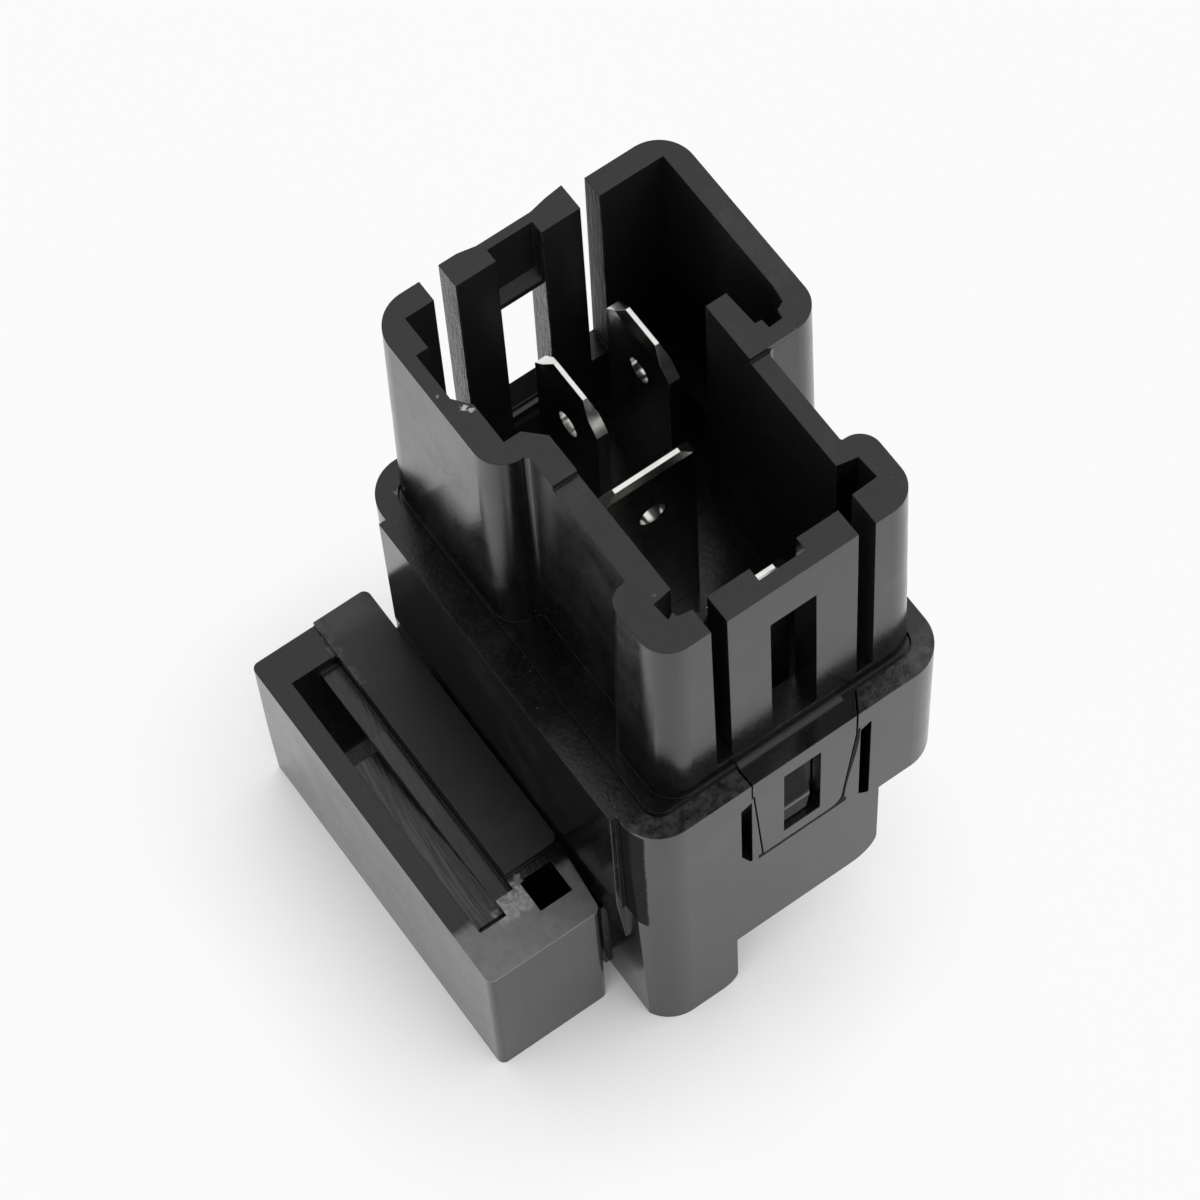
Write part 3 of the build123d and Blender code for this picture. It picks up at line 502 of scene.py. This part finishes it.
def seam_shade(wire):
    """Uneven dark line along the lower and right sides of the front tongue."""
    place = wire.node("SeparateXYZ")
    wire.feed(place.inputs[0], wire.node("TexCoord").outputs["Object"])
    low = on_cover(23.6, 0, -11.4)
    high = on_cover(24.65, 0, -2.6)
    share = wire.between(place.outputs[2], low[2], high[2])
    line = wire.maths("ADD", wire.maths("MULTIPLY", share, high[0] - low[0]), low[0])
    beside = wire.maths("ABSOLUTE", wire.maths("SUBTRACT", place.outputs[0], line))
    right = wire.between(beside, 0.26 * MM, 0.14 * MM)
    upright = wire.group(
        ragged_place,
        low=on_cover(22.0, -1.0, -11.7),
        high=on_cover(26.0, 0.5, -2.0),
        softness=0.1 * MM,
        raggedness=0.2 * MM,
    )["Mask"]
    right = wire.maths("MULTIPLY", right, upright)
    under = wire.group(
        ragged_place,
        low=on_cover(17.3, -1.0, -11.72),
        high=on_cover(24.0, 0.5, -11.1),
        softness=0.1 * MM,
        raggedness=0.15 * MM,
    )["Mask"]
    return wire.maths("MAXIMUM", right, under)


def make_cover_black():
    """Cover and bracket: sawn rim, streaked latch ramp, gate scar and handling marks."""
    material, wire, shader, grain, edge, colour, rough = black_skin(
        "cover_black", (0.0020, 0.0020, 0.0021), (0.0050, 0.0049, 0.0050), 0.17, 0.6
    )
    colour, height = add_rim(wire, colour, grain["Height"])
    colour, height = add_ramp(wire, colour, height)
    colour, height = add_scar(wire, colour, height)
    colour, height = add_strap_wear(wire, colour, height)
    colour = add_side_bloom(wire, colour)
    colour = add_pale_spots(wire, colour, [(on_cover(11.06, 28.32, 0), 0.2 * MM, 0.4)])

    # The strap is blasted dull on top
    strap = wire.group(
        box_place,
        low=(strap_left, strap_front, bracket_top + 0.4 * MM),
        high=(bracket_left + 9.2 * MM, bracket_back + 1 * MM, bracket_top + 0.6 * MM),
        softness=0.05 * MM,
    )["Mask"]
    rough = wire.maths("ADD", rough, wire.maths("MULTIPLY", strap, 0.24))
    colour = tinted(wire, colour, strap, 0.6, (0.045, 0.0447, 0.045))
    wire.feed(shader.inputs["Base Color"], colour)
    wire.feed(shader.inputs["Roughness"], rough)

    # Sunk faces that turn away from the light
    normal = set_relief(wire, shader, height, 0.006 * MM, edge["Normal"])
    wedge = wire.group(
        box_place,
        low=on_cover(19.2, 0.08, -9.6),
        high=on_cover(21.6, 2.0, -1.0),
        softness=0.02 * MM,
    )["Mask"]
    normal = leaning(wire, normal, wedge, (0, 0, 0.55))
    notch = wire.group(
        ragged_place,
        low=on_cover(9.15, 1.1, -14.2),
        high=on_cover(10.15, 3.25, -0.3),
        softness=0.2 * MM,
        raggedness=0.2 * MM,
    )["Mask"]
    normal = leaning(wire, normal, notch, (0, 0, 1.6))
    normal = leaning(wire, normal, seam_shade(wire), (0, 0, 1.0))
    wire.feed(shader.inputs["Normal"], normal)
    return material


def add_cut_faces(wire, colour, height, rough):
    """Coarse upright drag marks on the cut faces round the back tab and its window."""
    tab_side = 16.65
    window_side = 22.6
    slot_side = 26.7
    total = None
    for x in (tab_side, window_side, slot_side):
        face = wire.group(
            box_place,
            low=on_cover(x - 0.12, 27.5, 1.0),
            high=on_cover(x + 0.12, 31.5, 19.59),
            softness=0.03 * MM,
        )["Mask"]
        total = face if total is None else wire.maths("MAXIMUM", total, face)
    drag = wire.group(drawn_streaks, pitch=(0.3 * MM, 0.22 * MM, 2.2 * MM), sharpness=0.3)
    colour = tinted(wire, colour, wire.maths("MULTIPLY", total, drag["Mask"]), 0.8, (0.10, 0.098, 0.10))
    height = raised_by(wire, height, total, drag["Height"], 30.0)
    return colour, height, wire.maths("ADD", rough, wire.maths("MULTIPLY", total, 0.08))


def inner_faces(wire):
    """Upright faces above the flange that look in towards the middle of the socket, where lighter shade
    is painted on.
    """
    geometry = wire.node("NewGeometry").outputs
    middle = on_cover(22.4, 15.2, 0)
    inward = wire.vector("SUBTRACT", middle, geometry["Position"]).outputs["Vector"]
    level = wire.vector("MULTIPLY", inward, (1, 1, 0)).outputs["Vector"]
    unit = wire.node("VectorMath", operation="NORMALIZE")
    wire.feed(unit.inputs[0], level)
    facing = wire.vector("DOT_PRODUCT", unit.outputs["Vector"], geometry["True Normal"])
    return wire.between(facing.outputs["Value"], 0.05, 0.3)


def make_socket_black():
    """Socket shroud, floor and tongues."""
    material, wire, shader, grain, edge, colour, rough = black_skin(
        "socket_black", (0.0032, 0.0032, 0.0033), (0.0070, 0.0069, 0.0070), 0.19, 0.35
    )
    flow = wire.group(drawn_streaks, pitch=(0.9 * MM, 0.9 * MM, 14 * MM), sharpness=0.1)
    colour = tinted(wire, colour, flow["Mask"], 0.12, (0.03, 0.03, 0.031))
    height = wire.maths("ADD", grain["Height"], wire.maths("MULTIPLY", flow["Height"], 0.5))
    # Painted light: walls that face the middle of the socket are painted a lighter grey, and made
    # rougher.
    inner = inner_faces(wire)
    colour = tinted(wire, colour, inner, 0.75, (0.023, 0.0228, 0.0232))
    rough = wire.maths("ADD", rough, wire.maths("MULTIPLY", inner, 0.25))
    colour, height, rough = add_cut_faces(wire, colour, height, rough)
    pale_spots = [
        (on_cover(12.55, 21.35, 19.6), 0.24 * MM, 1.0),
        (on_cover(12.85, 21.0, 19.6), 0.2 * MM, 0.8),
        (on_cover(11.76, 22.84, 19.6), 0.12 * MM, 0.35),
        (on_cover(14.5, 5.7, 19.2), 0.16 * MM, 0.12),
    ]
    colour = add_pale_spots(wire, colour, pale_spots)
    wire.feed(shader.inputs["Base Color"], colour)
    wire.feed(shader.inputs["Roughness"], rough)
    set_relief(wire, shader, height, 0.006 * MM, edge["Normal"])
    return material


def make_metal(name, colour, tarnish, roughness, pitch, depth, radius=0.05 * MM):
    """Plated or plain metal: drawn grain, dull patches and bright rubbed edges."""
    material, wire, shader = new_material(name, roughness, 1.0)
    lines = wire.group(drawn_streaks, pitch=pitch, sharpness=0.2)
    grain = wire.group(skin_grain, size=0.12 * MM, cloud=1.5 * MM)
    edge = wire.group(rubbed_edge, radius=radius, wear=0.7)
    dull = wire.maths("MULTIPLY", grain["Patches"], 0.5)
    shade = wire.blend(dull, (*colour, 1), (*tarnish, 1))
    bright = tuple(min(1.0, part * 1.12) for part in colour)
    shade = wire.blend(edge["Mask"], shade, (*bright, 1))
    wire.feed(shader.inputs["Base Color"], shade)
    rough = wire.maths("ADD", wire.maths("MULTIPLY", dull, 0.12), roughness)
    rough = wire.maths("ADD", rough, wire.maths("MULTIPLY", lines["Mask"], 0.06))
    wire.feed(shader.inputs["Roughness"], rough)
    relief = wire.maths("ADD", lines["Height"], wire.maths("MULTIPLY", grain["Height"], 0.5))
    set_relief(wire, shader, relief, depth, edge["Normal"])
    return material


def make_plastic(name, colour, clouded, roughness, speckle):
    """Natural or lacquered plastic with fine filler specks."""
    material, wire, shader = new_material(name, roughness)
    grain = wire.group(skin_grain, size=0.14 * MM, cloud=2 * MM)
    edge = wire.group(rubbed_edge, radius=0.1 * MM, wear=0.4)
    dust = wire.group(dust_specks, spacing=0.35 * MM, amount=speckle)
    shade = wire.blend(grain["Patches"], (*colour, 1), (*clouded, 1))
    paler = tuple(min(1.0, part * 1.2 + 0.03) for part in colour)
    shade = wire.blend(edge["Mask"], shade, (*paler, 1))
    shade = wire.blend(dust["Mask"], shade, (0.85, 0.83, 0.78, 1))
    wire.feed(shader.inputs["Base Color"], shade)
    rough = wire.maths("ADD", wire.maths("MULTIPLY", grain["Patches"], 0.1), roughness)
    wire.feed(shader.inputs["Roughness"], rough)
    set_relief(wire, shader, grain["Height"], 0.004 * MM, edge["Normal"])
    return material, wire, shader, shade


tinned = make_metal(
    "tinned_brass",
    colour=(0.78, 0.77, 0.75),
    tarnish=(0.62, 0.61, 0.58),
    roughness=0.11,
    pitch=(0.5 * MM, 0.5 * MM, 6 * MM),
    depth=0.0008 * MM,
)
zinc_iron = make_metal(
    "zinc_plated_iron",
    colour=(0.62, 0.62, 0.60),
    tarnish=(0.45, 0.46, 0.44),
    roughness=0.32,
    pitch=(0.3 * MM, 4 * MM, 4 * MM),
    depth=0.003 * MM,
)
bare_iron = make_metal(
    "ground_iron",
    colour=(0.55, 0.54, 0.52),
    tarnish=(0.42, 0.40, 0.38),
    roughness=0.3,
    pitch=(3 * MM, 0.2 * MM, 3 * MM),
    depth=0.003 * MM,
)
leaf_bronze = make_metal(
    "rolled_bronze",
    colour=(0.78, 0.52, 0.28),
    tarnish=(0.55, 0.36, 0.20),
    roughness=0.26,
    pitch=(0.2 * MM, 5 * MM, 5 * MM),
    depth=0.001 * MM,
)
brass = make_metal(
    "rivet_brass",
    colour=(0.80, 0.62, 0.32),
    tarnish=(0.60, 0.44, 0.22),
    roughness=0.3,
    pitch=(0.3 * MM, 0.3 * MM, 1 * MM),
    depth=0.002 * MM,
)
silver = make_metal(
    "contact_silver",
    colour=(0.90, 0.89, 0.86),
    tarnish=(0.66, 0.64, 0.60),
    roughness=0.28,
    pitch=(0.4 * MM, 0.4 * MM, 1 * MM),
    depth=0.002 * MM,
)
spring_steel = make_metal(
    "spring_steel",
    colour=(0.58, 0.58, 0.58),
    tarnish=(0.42, 0.42, 0.42),
    roughness=0.24,
    pitch=(0.2 * MM, 0.2 * MM, 0.2 * MM),
    depth=0.001 * MM,
    radius=0.02 * MM,
)
copper = make_metal(
    "enamelled_copper",
    colour=(0.70, 0.27, 0.10),
    tarnish=(0.45, 0.15, 0.05),
    roughness=0.24,
    pitch=(0.2 * MM, 2 * MM, 0.2 * MM),
    depth=0.001 * MM,
    radius=0.03 * MM,
)


def make_bobbin_natural():
    """Undyed, glass-filled plastic of the coil former."""
    return make_plastic(
        "bobbin_natural",
        colour=(0.60, 0.55, 0.43),
        clouded=(0.52, 0.46, 0.34),
        roughness=0.45,
        speckle=0.4,
    )[0]


def make_tape_yellow():
    """Glossy insulating tape round the winding."""
    material, wire, shader, shade = make_plastic(
        "tape_yellow",
        colour=(0.78, 0.55, 0.10),
        clouded=(0.70, 0.47, 0.08),
        roughness=0.25,
        speckle=0.0,
    )
    shader.inputs["Coat Weight"].default_value = 0.4
    return material


def make_resistor_lacquer():
    """Tan lacquer with four plain colour bands."""
    material, wire, shader, shade = make_plastic(
        "resistor_lacquer",
        colour=(0.55, 0.42, 0.26),
        clouded=(0.48, 0.36, 0.22),
        roughness=0.3,
        speckle=0.1,
    )
    low, high = (Vector(corner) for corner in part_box("suppression_resistor"))
    length = high.x - low.x
    bands = (
        (0.12, (0.25, 0.10, 0.04)),
        (0.36, (0.02, 0.02, 0.02)),
        (0.54, (0.30, 0.12, 0.03)),
        (0.86, (0.55, 0.38, 0.12)),
    )
    for share, paint in bands:
        middle = low.x + share * length
        band = wire.group(
            box_place,
            low=(middle - 0.16 * MM, -1, -1),
            high=(middle + 0.16 * MM, 1, 1),
            softness=0.02 * MM,
        )["Mask"]
        shade = wire.blend(band, shade, (*paint, 1))
    wire.feed(shader.inputs["Base Color"], shade)
    return material


def dress(node, material):
    """Gives a node its finish in place of the plain one."""
    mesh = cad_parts[node].data
    mesh.materials.clear()
    mesh.materials.append(material)


finishes = {
    "cover": make_cover_black(),
    "base_housing": make_socket_black(),
    "coil_terminal_a": tinned,
    "coil_terminal_b": tinned,
    "common_terminal": tinned,
    "load_terminal": tinned,
    "backstop": tinned,
    "resistor_leads": tinned,
    "bobbin": make_bobbin_natural(),
    "coil_winding": copper,
    "coil_lead_a": copper,
    "coil_lead_b": copper,
    "coil_tape": make_tape_yellow(),
    "core": bare_iron,
    "yoke": zinc_iron,
    "armature": zinc_iron,
    "contact_leaf": leaf_bronze,
    "leaf_rivets": brass,
    "moving_contact": silver,
    "fixed_contact": silver,
    "return_spring": spring_steel,
    "suppression_resistor": make_resistor_lacquer(),
}
for node, material in finishes.items():
    dress(node, material)


def background_ray(wire):
    """1 for the rays that show the background, in the view or in a reflection."""
    light_path = wire.node("LightPath").outputs
    seen = wire.maths("MAXIMUM", light_path["Is Camera Ray"], light_path["Is Glossy Ray"])
    return wire.maths("MAXIMUM", seen, light_path["Is Transmission Ray"])


def lay_floor():
    """Large white floor that still takes the relay's shadow, with a painted shadow in front of the
    relay where reflections show the floor.
    """
    white = 0.93
    front_painted_shadow = 0.74
    shadow_reach = 12 * MM
    shape = bmesh.new()
    bmesh.ops.create_grid(shape, x_segments=2, y_segments=2, size=3.0)
    mesh = bpy.data.meshes.new("studio_floor")
    shape.to_mesh(mesh)
    shape.free()
    floor = bpy.data.objects.new("studio_floor", mesh)
    floor.location.z = cad_low[2] - 0.01 * MM
    bpy.context.scene.collection.objects.link(floor)
    material, wire, shader = new_material("studio_white", 0.9)
    shader.inputs["Base Color"].default_value = (0.8, 0.8, 0.8, 1)
    shader.inputs["Specular IOR Level"].default_value = 0.0
    glow = wire.node("Emission")
    glow.inputs["Strength"].default_value = 1.0
    mixed = wire.node("MixShader")
    open_floor = wire.node("AmbientOcclusion", samples=4)
    open_floor.inputs["Distance"].default_value = shadow_reach
    shown = wire.maths("MULTIPLY", background_ray(wire), open_floor.outputs["AO"])
    place = wire.node("SeparateXYZ")
    wire.feed(place.inputs[0], wire.node("NewGeometry").outputs["Position"])
    near = front_face - 2 * MM
    far = front_face + 6 * MM
    # Painted shadow: in reflections the floor is dimmed in front of the relay.
    front = wire.between(place.outputs[1], near, far, front_painted_shadow, 1.0)
    shadow_seen_in_reflections = wire.blend(wire.node("LightPath").outputs["Is Camera Ray"], front, (1, 1, 1, 1))
    wire.feed(mixed.inputs[0], wire.maths("MULTIPLY", shown, wire.maths("MULTIPLY", shadow_seen_in_reflections, white)))
    wire.feed(mixed.inputs[1], shader.outputs[0])
    wire.feed(mixed.inputs[2], glow.outputs[0])
    wire.feed(wire.tree.nodes["Material Output"].inputs[0], mixed.outputs[0])
    mesh.materials.append(material)


def light_room():
    """Grey sweep round the horizon, under a ceiling that is dark left and white right."""
    wall_grey = 0.4
    ceiling_left = 0.08
    ceiling_right = 1.08
    world = bpy.data.worlds.new("studio_room")
    bpy.context.scene.world = world
    world.use_nodes = True
    wire = Wiring(world.node_tree)
    direction = wire.node("SeparateXYZ")
    wire.feed(direction.inputs[0], wire.node("TexCoord").outputs["Generated"])
    ceiling = wire.between(direction.outputs[2], 0.35, 0.75)
    across = wire.between(direction.outputs[0], -0.22, 0.16, ceiling_left, ceiling_right)
    walls = wire.maths("MULTIPLY", wire.maths("SUBTRACT", 1.0, ceiling), wall_grey)
    strength = wire.maths("ADD", walls, wire.maths("MULTIPLY", ceiling, across))
    sky = world.node_tree.nodes["Background"]
    sky.inputs[0].default_value = (1, 1, 1, 1)
    wire.feed(sky.inputs[1], strength)


def hang_softbox(name, place, size, power, target=(0, 0, 0.02)):
    """Square soft lamp that points at the relay."""
    lamp = bpy.data.lights.new(name, "AREA")
    lamp.shape = "SQUARE"
    lamp.size = size
    lamp.energy = power
    holder = bpy.data.objects.new(name, lamp)
    holder.location = place
    holder.rotation_euler = (Vector(target) - Vector(place)).to_track_quat("-Z", "Y").to_euler()
    bpy.context.scene.collection.objects.link(holder)


def set_camera():
    """Long lens above the front left, as in the photograph."""
    camera = bpy.data.cameras.new("photo_view")
    camera.lens = 137.985
    camera.sensor_width = 36.0
    camera.clip_start = 0.01
    holder = bpy.data.objects.new("photo_view", camera)
    bpy.context.scene.collection.objects.link(holder)
    right = Vector((0.815435, -0.577815, -0.034582))
    up = -Vector((-0.533126, -0.726409, -0.433713))
    back = -Vector((0.225485, 0.372101, -0.900387))
    place = Vector((-61.716, -102.444, 276.925)) * MM
    holder.matrix_world = Matrix(
        tuple((right[i], up[i], back[i], place[i]) for i in range(3)) + ((0, 0, 0, 1),)
    )
    bpy.context.scene.camera = holder


lay_floor()
light_room()
hang_softbox("window_left", (-0.35, -0.12, 0.30), 0.30, 0.12)
hang_softbox("fill_front", (0.10, -0.45, 0.25), 0.30, 0.08)
set_camera()

bpy.context.scene.view_settings.view_transform = "Standard"
